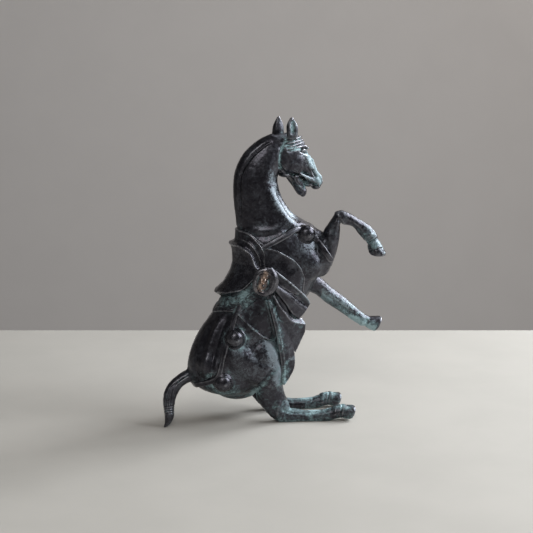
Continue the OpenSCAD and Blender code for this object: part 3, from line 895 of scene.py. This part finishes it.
# Where the skin is sawn into castings: a place on each, how far it reaches, and the planes that bound it.
CUTS = [
    ("ear_right", (24, -10, 298), 22, [((0, 0, 290.5), (0, 0, 1))]),
    ("ear_left", (15, 10, 298), 22, [((0, 0, 290.5), (0, 0, 1))]),
    ("lower_jaw", (36, 5, 230), 26, [((27, 5, 246.5), (0.1, 0, -1)), ((41.5, 9, 240), (-1, 0, -0.25))]),
    ("head", (40, 8, 262), 75, [((12, 0, 268), (0.995, 0, 0.104))]),
    ("neck", (-10, 0, 262), 110, [((0, 0, 198), (0, 0, 1))]),
    ("foreleg_right", (80, -25, 205), 60, [((60, -20, 192), (0.45, -0.3, 0.84))]),
    ("foreleg_left", (84, 15, 110), 60, [((57, 13, 129), (0.8, 0, -0.6))]),
    ("hind_leg_right", (30, -25, 6), 80, [((-2, -20, 34), (0.3, -0.45, -0.84))]),
    ("hind_leg_left", (30, 16, 6), 80, [((-2, 20, 34), (0.3, 0.45, -0.84))]),
    ("tail", (-98, -4, 30), 50, [((-80, 0, 48), (-1, 0, 0))]),
    ("forebody", (30, 0, 160), 120, [((0, 0, 122), (0, 0, 1))]),
]
HEAD_LOOK, LEG_LOOK, BODY_LOOK = (HEAD, "head_bronze"), (LEGS, "leg_bronze"), (BODY, "body_bronze")
LOOKS = {"ear": HEAD_LOOK, "head": HEAD_LOOK, "lower": HEAD_LOOK, "foreleg": LEG_LOOK, "hind": LEG_LOOK}
castings = split(skin, CUTS)
castings["hindquarters"] = castings.pop("rest")
for name, me in castings.items():
    finish_piece(me, name + "_cast", *LOOKS.get(name.split("_")[0], BODY_LOOK))


# ---- harness laid on the body
LAYER_VOXEL, FINE_VOXEL, KNOT_VOXEL = 0.5, 0.45, 0.42
quads = quads_of(skin)
U, W = drawn(twin(bare))
trunk = (bare[:, 2] > 30) & (bare[:, 2] < 206) & (bare[:, 0] < 62) & ~((bare[:, 2] < 36) & (bare[:, 0] > -12))


def overlay(near, reach, height, only, spread=1.6, under=1.2):
    """A closed layer over the bare skin where reach is above 0, its top at the given height."""
    keep, level = np.zeros(len(bare), bool), np.zeros(len(bare))
    keep[near], level[near] = reach > -spread, height
    q = quads[(keep & only)[quads].all(1)]
    used, q = np.unique(q, return_inverse=True)
    q = q.reshape(-1, 4)
    n = len(used)
    top = bare[used] + bare_n[used] * level[used][:, None]
    bottom = bare[used] - bare_n[used] * under
    a, b = q.ravel(), np.roll(q, -1, 1).ravel()
    open_edge = ~np.isin(a * n + b, b * n + a)
    a, b = a[open_edge], b[open_edge]
    faces = np.concatenate([q, q[:, ::-1] + n, np.stack([b, a, a + n, b + n], 1)])
    return mesh_of(np.concatenate([top, bottom]), faces.tolist())


def panel(near, d, thickness, only, soft=0.8, spread=1.6, sunk=-0.9):
    """A layer inside an outline at signed distance d, with a quick rounded rise at its edge."""
    t = np.clip(d / soft, 0, 1)
    height = np.where(d > 0, sunk + (thickness - sunk) * np.sqrt(1 - (1 - t) ** 2), sunk)
    return overlay(near, d, height, only, spread)


def found(only):
    """The bare skin's points of a region, and where they are drawn."""
    near = np.flatnonzero(only)
    return near, U[near], W[near]


def bump_line(u, w, path, width, height, per=5, fade=0.0):
    d, where, _ = distance(u, w, curve(path, per))
    amount = height * np.exp(-((d / width) ** 2))
    return amount * np.clip(np.minimum(where, 1 - where) / fade, 0, 1) if fade else amount


# Saddle, from the raised pommel to the cantle.
POMMEL = [(-36, 196), (-27.2, 193.9), (-19.9, 191.3), (-14.4, 187.4), (-9.8, 182.6), (-5.2, 177), (-2, 170),
          (-0.2, 163.5), (0.3, 156.2)]
SEAT_EDGE = [(-40, 183), (-36.3, 182.2), (-30, 180.5), (-24.5, 178), (-19.9, 174.1), (-15.3, 168.9),
             (-13.1, 164.2), (-10.8, 157.7), (-8, 152)]
THIN_RIDGE = [(-30, 187), (-19, 181.7), (-12.6, 175.1), (-8, 167.6), (-5.7, 160.2), (-5.7, 153)]
SADDLE_LOW = [(-60, 129.4), (-53.7, 128.2), (-51.2, 127.4), (-39.3, 127.4), (-31.1, 128.8), (-23.7, 131.8),
              (-18.2, 136.2), (-12, 142)]
SADDLE_OUTLINE = [(-75, 129.6), *SADDLE_LOW, (-4, 148), (0.3, 156.2), *POMMEL[-2::-1], (-50, 198), (-78, 190)]
region = trunk & (W > 125) & (W < 200) & (U < 6)
near, u, w = found(region)
# The seat stands clear of the back at the cantle and again at the pommel.
standing = np.interp(bare[near, 2], [122, 130, 134, 138, 145, 153, 162, 173, 180, 185, 190],
                     [10.5, 11.2, 10.0, 8.2, 5.2, 2.4, 1.8, 3.6, 6.0, 3.4, 1.8])
backward = np.clip(-bare_n[near, 0], 0, 1) ** 2
thick = 3.4 + (standing - 3.4) * backward
seat_d, _, seat_right = distance(u, w, curve(SEAT_EDGE, 4))
front = ~seat_right & (seat_d > 0)
thick = thick - 1.5 * front * (1 - np.exp(-((seat_d / 1.4) ** 2))) * np.clip((w - 150) / 6, 0, 1)
for path, width, height, fade in (
    (SEAT_EDGE, 1.2, 2.0, 0.06),
    (THIN_RIDGE, 0.9, 1.1, 0.15),
    (POMMEL, 1.4, 2.0, 0.12),
    (SADDLE_LOW, 1.8, 1.3, 0.0),
    ([(-44, 140), (-32, 138), (-22, 143), (-16, 152)], 5.0, -0.9, 0.2),
):
    thick += bump_line(u, w, path, width, height, fade=fade)
clay = Clay(cast(panel(near, inside(u, w, SADDLE_OUTLINE), thick, region, 0.7), LAYER_VOXEL, 6))
clay.dimple(0.04)
clay.apply()
clay.paint(
    "green", None,
    ([(-52, 131), (-39, 129), (-24, 131)], 3, 0.4),
    ([(-22, 186), (-10, 176), (-6, 162)], 3, 0.3))
clay.paint("dust_rub_and_highlight", None, ([(-34, 156), (-28, 152)], 6, 0.3))
finish_piece(clay.painted(), "saddle_cast", SADDLE, "saddle_bronze")

# Saddle cloth: hatched with worn stitching lines, and a plain panel with a rim below the knot.
PANEL_RIM = [(-31.2, 108.6), (-24.7, 101.7), (-16.4, 92.9), (-9, 85.9), (-0.6, 80.2), (6.8, 77.3), (12, 77)]
PAD_OUTLINE = [(-80, 112), (-60, 111.5), (-44, 111.5), (-34, 110), *PANEL_RIM, (16, 86), (26, 110), (33, 124),
               (37, 136), (38, 144), (36, 151), (31, 158), (24, 163.5), (12, 170), (1, 175), (-8, 183),
               (-20, 192), (-40, 197), (-80, 197)]
HATCH_TOP = np.array([(-62, 131), (-51.2, 130), (-39.3, 127.9), (-29.2, 128.7), (-21.9, 131.9), (-13, 138.5)])
HATCH_LOW = np.array([(-62, 117), (-52.2, 117.5), (-42.1, 117), (-31.1, 113), (-20.1, 116), (-9.8, 124)])
HATCH_LINES, HATCH_MARKS = 7, 26
region = trunk & (W > 70) & (W < 200) & (U < 42)
near, u, w = found(region)
thick = np.full(len(near), 1.7)
thick += bump_line(u, w, PANEL_RIM[:-1], 1.3, 1.1, fade=0.05)
for k in range(HATCH_LINES):
    t = k / (HATCH_LINES - 1)
    line = HATCH_TOP * (1 - t) + HATCH_LOW * t
    line = line + rng.normal(size=line.shape) * 0.35
    thick += bump_line(u, w, line, 0.75, -1.3 if k % 2 else -0.9, fade=0.05)
for _ in range(HATCH_MARKS):
    x0, w0 = rng.uniform(-58, -22), rng.uniform(112, 129)
    slope = rng.uniform(-0.1, 0.5)
    scratch = [(x0, w0), (x0 + 3, w0 + 3 * slope), (x0 + 6, w0 + 8 * slope)]
    thick += bump_line(u, w, scratch, 0.5, -0.6, 3, 0.3)
thick += bump_line(u, w, [(-28, 110), (-18, 118), (-8, 124)], 1.4, -0.9, fade=0.2)
thick += bump_line(u, w, [(-24, 105), (-12, 95), (4, 88)], 7, -0.8, fade=0.2)
clay = Clay(cast(panel(near, inside(u, w, PAD_OUTLINE), thick, region), LAYER_VOXEL, 4))
for t, width in ((0.15, 6), (0.5, 7), (0.85, 7)):
    clay.paint("green", None, (HATCH_TOP * (1 - t) + HATCH_LOW * t, width, 0.2))
clay.paint("green", None, ([(-20, 112), (-4, 104), (6, 92)], 9, 0.22), (PANEL_RIM, 3, 0.35))
finish_piece(clay.painted(), "saddle_pad_cast", PAD, "cloth_bronze")

# Flaps in front of the knot, with a raised rim.
FLAP = [(-2, 174.5), (1.2, 174.4), (7.7, 172.7), (16, 168.6), (24.4, 163.6), (30.9, 158.2), (35.7, 151.5),
        (38, 143.1), (37.1, 135.8), (35.3, 128)]
SIDES = ((-1, "right"), (1, "left"))
region = trunk & (W > 120) & (W < 180) & (U > -8) & (U < 44)
near, u, w = found(region)
d = inside(u, w, FLAP + [(28, 126), (14, 134), (2, 146), (-3, 158), (-3, 168)])
thick = 3.9 + bump_line(u, w, FLAP[1:], 1.2, 1.3)
thick += bump_line(u, w, [(8, 166), (20, 158), (28, 148)], 7, -0.8, fade=0.2)
for side, word in SIDES:
    clay = Clay(cast(panel(near, d, thick, region & (bare[:, 1] * side > 1), 0.7), LAYER_VOXEL, 4))
    # painted highlight, with grey powder, along the raised rim
    clay.paint("dust_rub_and_highlight", None, (FLAP[1:], 1.6, 0.8))
    clay.paint("green", None, ([(18, 142), (26, 134)], 4, 0.3))
    finish_piece(clay.painted(), "flap_%s_cast" % word, SADDLE, "cloth_bronze")


def strap(name, path, wide, thickness, swell, only, soft):
    """A flat band along a drawn line, with a rounded middle and raised borders."""
    near, u, w = found(only)
    d = distance(u, w, curve(path, 6))[0]
    inner = wide / 2 - d
    thick = thickness + swell * np.clip(1 - (2 * d / wide) ** 2, 0, 1)
    thick += 0.35 * np.exp(-((inner - 0.9) / 0.6) ** 2)
    me = cast(panel(near, inner, thick, only, soft, 1.2), FINE_VOXEL, 3)
    finish_piece(me, name, STRAP, "strap_bronze")


BREAST = [(-4, 174.6), (3, 177.6), (9.5, 180.7), (20, 186), (31.7, 191.6), (42, 186.4), (50, 182), (58, 173),
          (66, 160)]
CRUPPER = [(-28, 116), (-31.9, 106.6), (-35.8, 94.4), (-40.7, 78.1), (-44.7, 64.5), (-47.8, 53.5), (-51, 45),
           (-60, 40), (-80, 38)]
strap("breast_straps_cast", BREAST, 6.8, 1.3, 1.5, trunk & (W > 150) & (U > -6) & (bare[:, 2] < 203), 0.8)
strap("crupper_straps_cast", CRUPPER, 6.0, 0.9, 0.9,
      trunk & (W < 118) & (U < -20) & (W > 30) & (bare[:, 0] > -80), 1.4)


def mirrored(me):
    """The same mesh on the other side of the horse."""
    co = coords(me)
    co[:, 1] *= -1
    set_coords(me, co)
    me.flip_normals()
    return me


def bosses(name, places, side, radius=9.2, tall=7.8):
    """Soft, slightly melted domes with a skirt and a small nub."""
    half = trunk & (bare[:, 1] < -1)
    parts = []
    for place in places:
        c = at(*place)
        r = np.sqrt(((bare - c) ** 2).sum(1))
        near = np.flatnonzero(half & (r < radius + 6))
        skirt = -0.7 + 2.4 * np.exp(-((np.maximum(r[near] - radius + 1, 0) / 2.4) ** 2))
        parts += [overlay(near, radius + 4 - r[near], skirt, half, 0.8), ball(c, (radius, tall, radius)),
                  ball(c - [-0.4, tall - 1.5, 0.6], (2.8, 2.0, 2.6))]
    me = cast(joined(parts), FINE_VOXEL, 30)
    finish_piece(mirrored(me) if side > 0 else me, name, SADDLE, "boss_bronze")


CHEST_BOSS = [(41.7, 186.6, -22.5)]
for side, word in SIDES:
    bosses("chest_boss_%s_cast" % word, CHEST_BOSS, side)
    bosses("rump_bosses_%s_cast" % word, RUMP_BOSSES, side)


# ---- knot and hanging folds
def ribbed(ribs, thickness, steps=26, between=5):
    """A cloth sheet over drawn ribs [(u, w, y), ...], each from the root outwards."""
    lines = []
    for rib in ribs:
        p = curve([at(*q) for q in rib], 8)
        s = np.concatenate([[0], np.cumsum(np.linalg.norm(np.diff(p, axis=0), axis=1))])
        t = np.linspace(0, s[-1], steps)
        lines.append(np.stack([np.interp(t, s, p[:, k]) for k in range(3)], 1))
    rows = []
    for a, b in zip(lines[:-1], lines[1:]):
        rows += [a * (1 - t) + b * t for t in np.linspace(0, 1, between, endpoint=False)]
    return sheet(rows + [lines[-1]], thickness)


FOLD_A = [
    [(4, 153.6, -33), (13.4, 146.4, -33), (27.8, 134.4, -29), (40.6, 122, -24), (45.2, 115, -21)],
    [(5, 152.4, -38.8), (13.8, 145, -38.6), (28, 133, -34.8), (40.8, 120.6, -28.6), (45.8, 113.6, -24.6)],
    [(6, 144, -35), (13, 137.5, -34.4), (25.5, 128.5, -30.4), (36.5, 118, -26.4), (44, 111, -22.8)],
    [(7, 140, -38.4), (12.8, 134.2, -38.6), (25, 125, -35.4), (35, 115, -30.8), (42.6, 109, -25.8)],
    [(7, 138, -39), (12.5, 131.7, -39.5), (24.5, 122.5, -36.5), (34, 112.4, -32), (41.6, 107, -27)],
    [(7, 135.6, -39), (12, 129, -39.2), (22, 119.6, -36.6), (31, 108.6, -32.8), (38.6, 103.4, -28)],
    [(7, 133, -38.4), (11.5, 127.4, -38.4), (19.5, 117.2, -36), (27.5, 105.6, -33), (35, 100, -28)],
    [(6, 130, -34), (10, 125.4, -33.6), (18, 114.6, -32), (26, 103, -29.6), (33.6, 97.4, -26)],
]
FOLD_B = [
    [(8, 128, -33), (14.5, 116.5, -34.5), (21.5, 107.6, -33.5), (29, 99.8, -30), (37.3, 100.5, -24)],
    [(7.6, 126, -37), (14, 114, -38), (20.6, 105, -36.5), (27.5, 96.6, -33.5), (41.6, 93.4, -26.6)],
    [(6.5, 124, -35.5), (11.5, 108, -35.4), (18, 94, -33.4), (27, 84, -31), (40.4, 84.3, -26)],
    [(5.5, 121, -33), (10.5, 104, -32.4), (15.5, 90, -32.4), (20, 77, -31.6), (30.8, 64.4, -28)],
]
FOLD_C = [
    [(5, 118, -32), (11, 100, -33), (16.5, 82, -32.6), (21.5, 66, -31.4), (30, 61.4, -26)],
    [(4, 116, -33.4), (10, 98, -34), (15.6, 79, -33.6), (20.5, 60, -33), (30, 55.4, -27.4)],
    [(3, 112, -31), (9, 92, -32), (14.6, 72, -32), (18, 52, -31), (23, 40, -27)],
]
FOLD_D = [
    [(7.6, 118, -33), (11.6, 106, -34), (14.4, 92, -33.6), (18, 72, -32.6), (20.6, 56, -31), (19, 32, -27)],
    [(4.4, 119.6, -37.4), (8.8, 106, -38.2), (12.6, 92, -37.8), (16.6, 72, -36.4), (19.2, 56, -34.4),
     (18.4, 31, -29)],
    [(1.6, 120, -37.4), (5.4, 106, -38), (8.8, 92, -37.6), (12.8, 72, -36.2), (15.4, 56, -34),
     (17, 31, -29)],
    [(0, 119, -33), (3.6, 104, -33.4), (7.4, 90, -33), (11.4, 71, -32), (14, 55, -31), (16.4, 31, -27)],
]
FOLD_E = [
    [(-1, 121, -35), (2.6, 108, -35.4), (6.2, 94, -35), (9.8, 80, -34), (12.8, 66, -32.4)],
    [(-3, 120, -33), (0.4, 106, -33), (4.4, 92, -33), (8.4, 78, -32), (11.6, 64, -31)],
]
FOLD_F = [
    [(5, 104, -22), (8.8, 85.6, -22), (11.6, 71.4, -20), (13.2, 57.3, -19), (14, 43.1, -18),
     (15.5, 31.5, -18)],
    [(8, 104, -34), (12.3, 85.6, -34), (15.1, 71.4, -33.4), (16.6, 57.3, -32), (17, 43.1, -30.4),
     (16.8, 31.4, -28)],
    [(14, 99, -32), (19, 82, -31.4), (22.5, 66, -30.8), (22.8, 54, -29.6), (20.8, 43, -28.4),
     (17.2, 32, -27)],
    [(20, 96, -29), (25, 78, -28.4), (28.6, 62, -27.4), (28.6, 50, -26.6), (24.4, 41, -26),
     (18, 32.4, -25.6)],
]


def drape(name, side):
    """The cloth that hangs from the knot, in folds over a flat layer on the flank."""
    region = trunk & (W > 26) & (W < 150) & (U > -6) & (U < 46) & (bare[:, 1] < -1)
    near, u, w = found(region)
    under_edge = [(-1, 128), (6, 132), (18, 132), (34, 122), (38, 110), (36, 92), (30, 70), (24, 52),
                  (19, 36), (16, 40), (15, 56), (12.5, 72), (8, 90), (3, 106)]
    parts = [panel(near, inside(u, w, under_edge), 3.4, region)]
    folds = zip((FOLD_A, FOLD_B, FOLD_C, FOLD_D, FOLD_E, FOLD_F), (1.9, 1.8, 1.8, 2.2, 1.9, 2.0))
    parts += [ribbed(fold, thickness) for fold, thickness in folds]
    rim = [(4.6, 153.6, -38.6), (13.6, 146.2, -38.4), (28, 134.2, -34.6), (40.8, 121.8, -28.6),
           (45.6, 114.8, -24.8)]
    parts.append(tube([at(*p) for p in rim], [1.2, 1.2, 1.1, 1.0, 0.7]))
    me = cast(joined(parts), FINE_VOXEL, 12)
    clay = Clay(mirrored(me) if side > 0 else me)
    # painted highlight, with grey powder, along the rim and on the tips of two folds
    clay.paint(
        "dust_rub_and_highlight", None,
        ([p[:2] for p in rim], 1.6, 0.9),
        ([(40.6, 94.6), (37, 99)], 1.6, 1.0),
        ([(29.6, 58.6), (24, 58)], 2.2, 1.2))
    clay.paint(
        "green", None,
        ([p[:2] for p in FOLD_D[1]], 3.6, 0.75),
        ([p[:2] for p in FOLD_E[0]], 2.6, 0.4),
        ([(30, 98), (38, 88), (40, 76), (34, 66)], 5, 0.42),
        ([(24, 56), (24, 44), (20, 34)], 5, 0.4))
    finish_piece(clay.painted(), name, CLOTH, "cloth_bronze")


def knot(name, side):
    """A roll of cloth, narrow behind and full in front, round a gathered core."""
    roll = [(-1, 151.2, 4.2), (4.8, 148.2, 5.6), (6.8, 141.6, 6.3), (4.6, 134, 5.8), (-1.4, 129, 4.6),
            (-8, 129.4, 3.0), (-11.6, 134.4, 2.5), (-12, 141, 2.4), (-9.8, 147.2, 2.7), (-6, 150.8, 3.2)]
    ring = [at(u, w, -36.4 - 0.12 * r) for u, w, r in roll]
    radii = [r for _, _, r in roll]
    parts = [tube(ring + ring[:1], radii + radii[:1], 14), ball(at(-1, 140, -36), (10.5, 4.4, 12.4), -8)]
    core = [(-4.2, 141, 4.6, 9.4, 4.8), (-0.4, 147.0, 2.4, 2.8, 6.2), (-3.4, 142.8, 2.0, 3.2, 7.4),
            (-4.8, 137.2, 2.1, 3.2, 7.2), (-1.0, 140.6, 1.5, 3.4, 6.8), (-7.0, 133.2, 2.0, 2.4, 6.2),
            (-6.6, 141.2, 1.4, 3.6, 6.2)]
    parts += [ball(at(u, w, -35.4), (r, deep, tall), -16) for u, w, r, tall, deep in core]
    me = cast(joined(parts), KNOT_VOXEL, 4)
    clay = Clay(mirrored(me) if side > 0 else me)
    clay.paint("dust_rub_and_highlight", None, ([(-0.8, 148), (-3.2, 141.6), (-6.6, 133)], 3.6, 1.6))
    clay.paint("green", None, ([(-8, 146), (-9, 136), (-4, 130.6), (1.5, 134), (2.4, 142)], 1.4, 0.6))
    finish_piece(clay.painted(), name, COPPER, "rubbed_bronze")


for side, word in SIDES:
    drape("drape_%s_cast" % word, side)
    knot("knot_%s_cast" % word, side)


# ---- fixings that stay as the CAD made them
def machined():
    m = Nodes("bronze_machined")
    at = m.place()
    turned = m.noise(m.new("Mapping", {"Vector": at, "Scale": (1.0, 1.0, 14.0)}).outputs[0], 260.0, 3.0)
    tint = m.mix(m.clamp(m.noise(at, 120.0), 0.35, 0.7), srgb(170, 124, 70), srgb(132, 92, 52))
    m.feed(m.bsdf.inputs["Base Color"], tint)
    m.feed(m.bsdf.inputs["Metallic"], 1.0)
    m.feed(m.bsdf.inputs["Roughness"], m.clamp(turned, 0.3, 0.7, 0.22, 0.42))
    m.bump(turned, 0.2, 0.0002)
    return m.mat


FIXING = machined()
for name in ("waist_sleeve", "neck_sleeve", "waist_pins", "neck_pins", "limb_dowels"):
    for place in NODES[name].material_slots:
        place.material = FIXING


# ---- floor, wall, light and camera
DISTANCE, AZIMUTH, ELEVATION = 1.5, math.radians(-15), math.radians(12)
SENSOR, PICTURE_SIDE = 36, 533
TARGET = Vector((ORIGIN[0] * MM, ORIGIN[1] * MM, 0.1556))


def plain(name, colour, rough, speckle):
    m = Nodes(name)
    cloud = m.clamp(m.noise(m.place(), 9.0, 5.0), 0.3, 0.7)
    light = tuple(c * (1 + speckle) for c in colour[:3]) + (1.0,)
    dark = tuple(c * (1 - speckle) for c in colour[:3]) + (1.0,)
    m.feed(m.bsdf.inputs["Base Color"], m.mix(cloud, dark, light))
    m.feed(m.bsdf.inputs["Roughness"], rough)
    return m.mat


def backdrop(name, half, near, far, material):
    """A rectangle 2 * half wide whose near and far edges are at (y, z), turned to face the camera."""
    me = bpy.data.meshes.new(name)
    c, s = math.cos(AZIMUTH), math.sin(AZIMUTH)
    corners = [(-half, *near), (half, *near), (half, *far), (-half, *far)]
    me.from_pydata([(x * c - y * s, x * s + y * c, z) for x, y, z in corners], [], [(0, 1, 2, 3)])
    me.materials.append(material)
    ob = linked(name, me)


FLOOR_FRONT, FLOOR_BACK, WALL_BACK = -0.9, 0.347, 2.6
backdrop("floor", 4, (FLOOR_FRONT, 0), (FLOOR_BACK, 0), plain("pale_floor", srgb(175, 171, 164), 0.75, 0.03))
backdrop("wall", 9, (WALL_BACK, -3), (WALL_BACK, 5), plain("grey_wall", srgb(214, 208, 203), 0.9, 0.01))


def area(name, place, target, size, power, colour):
    data = bpy.data.lights.new(name, "AREA")
    data.shape = "RECTANGLE"
    data.size, data.size_y = size
    data.energy = power
    data.color = colour
    ob = linked(name, data)
    ob.location = place
    ob.rotation_euler = (Vector(target) - Vector(place)).to_track_quat("-Z", "Y").to_euler()


# Two tall windows from the right, and a little light for the room, the floor and the wall.
MIDDLE = (0, 0, (cad_box[0][2] + cad_box[1][2]) / 2)
DAY, WARM = (0.92, 0.96, 1.0), (1.0, 0.98, 0.96)
area("window", (1.30, -0.52, 1.0), MIDDLE, (0.9, 1.1), 27, DAY)
area("window_back", (1.39, 0.35, 0.95), MIDDLE, (0.6, 1.1), 28, DAY)
area("window_top", (0.4, 0.3, 1.5), MIDDLE, (0.9, 0.6), 3, (0.95, 0.97, 1.0))
area("room", (-0.9, -1.7, 1.1), MIDDLE, (1.4, 1.0), 1.2, (1.0, 0.97, 0.93))
area("floor_light", (-0.35, -0.95, 1.1), (-0.15, -0.45, 0), (0.5, 0.5), 4.2, (1.0, 0.98, 0.95))
area("wall_light", (2.3, 1.0, 1.6), (1.5, 2.6, 1.0), (0.8, 0.8), 25, WARM)
area("wall_fill", (-0.9, 1.1, 1.9), (-0.6, 2.6, 1.0), (0.8, 0.8), 1.4, WARM)
world = bpy.data.worlds.new("room")
world.use_nodes = True
world.node_tree.nodes["Background"].inputs["Color"].default_value = (0.30, 0.30, 0.305, 1)
world.node_tree.nodes["Background"].inputs["Strength"].default_value = 0.38
bpy.context.scene.world = world
bpy.context.scene.view_settings.view_transform = "Standard"

level = math.cos(ELEVATION)
back = Vector((math.sin(AZIMUTH) * level, -math.cos(AZIMUTH) * level, math.sin(ELEVATION)))
lens = bpy.data.cameras.new("camera")
lens.sensor_width = SENSOR
lens.lens = SENSOR * DISTANCE / MM / PICTURE_SIDE
camera = linked("camera", lens)
camera.location = TARGET + back * DISTANCE
camera.rotation_euler = back.to_track_quat("Z", "Y").to_euler()
bpy.context.scene.camera = camera

bpy.context.view_layer.update()
